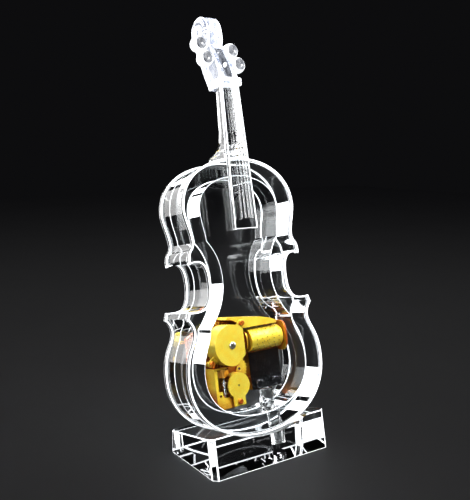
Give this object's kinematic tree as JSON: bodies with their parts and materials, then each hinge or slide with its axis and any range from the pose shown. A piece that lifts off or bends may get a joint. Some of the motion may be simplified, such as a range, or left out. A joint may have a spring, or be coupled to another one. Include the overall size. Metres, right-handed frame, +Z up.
{
  "type": "violin music box",
  "caption": "Clear violin-shaped display case leaning back in a clear wedge block, holding a key-wound pinned-drum musical movement with comb and air-brake governor.",
  "frame": {"origin": "centre of the block's underside", "axes": "+X to the right as seen from the front, +Y towards the back where the key is, +Z up; the violin leans back by 12 degrees"},
  "size_m": [0.0746, 0.0647, 0.2009],
  "materials": {
    "clear_acrylic": "polished clear acrylic with bright edges",
    "gold_plate": "gold-plated die casting and wheels, satin bright",
    "pale_gold": "gold-plated, polished",
    "fan_gold": "gold-plated sheet, darker tone",
    "dark_steel": "dark ground and polished tempered steel",
    "bright_steel": "bright turned steel"
  },
  "bodies": {
    "case": {"back_plate": "clear_acrylic", "base_block": "clear_acrylic", "bedplate": "gold_plate", "bridge_screw_1": "gold_plate", "bridge_screw_2": "gold_plate", "comb": "dark_steel", "comb_screw_1": "dark_steel", "comb_screw_2": "dark_steel", "cylinder_bearing_left": "gold_plate", "cylinder_bearing_right": "gold_plate", "fingerboard": "clear_acrylic", "front_plate": "clear_acrylic", "governor_cover": "pale_gold", "governor_screw": "gold_plate", "housing_screw_1": "gold_plate", "housing_screw_2": "gold_plate", "mainspring": "bright_steel", "movement_screw_1": "bright_steel", "movement_screw_2": "bright_steel", "movement_screw_3": "bright_steel", "neck": "clear_acrylic", "nut": "clear_acrylic", "peg_1": "clear_acrylic", "peg_2": "clear_acrylic", "peg_3": "clear_acrylic", "peg_4": "clear_acrylic", "rib_ring": "clear_acrylic", "scroll_head": "clear_acrylic", "spring_housing": "gold_plate", "string_1": "clear_acrylic", "string_2": "clear_acrylic", "string_3": "clear_acrylic", "string_4": "clear_acrylic", "support_post": "clear_acrylic", "train_bridge": "gold_plate", "worm_bracket": "gold_plate"},
    "winding": {"winding_arbor": "bright_steel", "winding_key": "gold_plate", "ratchet_wheel": "bright_steel"},
    "great": {"great_wheel": "gold_plate", "click": "bright_steel"},
    "drum": {"pinned_cylinder": "pale_gold", "cylinder_arbor": "bright_steel", "cylinder_pinion": "gold_plate"},
    "second": {"second_pinion": "gold_plate", "second_wheel": "gold_plate", "second_arbor": "bright_steel"},
    "third": {"third_pinion": "gold_plate", "third_arbor": "bright_steel", "worm_wheel": "gold_plate"},
    "brake": {"worm_shaft": "bright_steel", "fan": "fan_gold"}
  },
  "joints": [
    {"name": "key_turn", "type": "hinge", "parent": "case", "child": "winding", "pos_m": [-0.0106, 0.01018, 0.04986], "axis": [0, -0.9781, 0.2079], "range_deg": [0, 1620]},
    {"name": "great_wheel_turn", "type": "hinge", "parent": "case", "child": "great", "pos_m": [-0.0106, 0.01018, 0.04986], "axis": [0, 0.9781, -0.2079], "continuous": true},
    {"name": "drum_turn", "type": "hinge", "parent": "case", "child": "drum", "pos_m": [0, 0.00803, 0.05032], "axis": [1, 0, 0], "continuous": true},
    {"name": "second_turn", "type": "hinge", "parent": "case", "child": "second", "pos_m": [-0.00415, 0.00766, 0.03799], "axis": [0, 0.9781, -0.2079], "continuous": true},
    {"name": "third_turn", "type": "hinge", "parent": "case", "child": "third", "pos_m": [-0.00797, 0.00628, 0.03151], "axis": [0, 0.9781, -0.2079], "continuous": true},
    {"name": "fan_turn", "type": "hinge", "parent": "case", "child": "brake", "pos_m": [-0.01382, 0.00309, 0.03624], "axis": [0, 0.2079, 0.9781], "continuous": true}
  ],
  "couplings": [
    {"joint": "drum_turn", "follows": "great_wheel_turn", "ratio": -4.5},
    {"joint": "second_turn", "follows": "great_wheel_turn", "ratio": -3.5},
    {"joint": "third_turn", "follows": "great_wheel_turn", "ratio": 8.4},
    {"joint": "fan_turn", "follows": "great_wheel_turn", "ratio": -84}
  ]
}
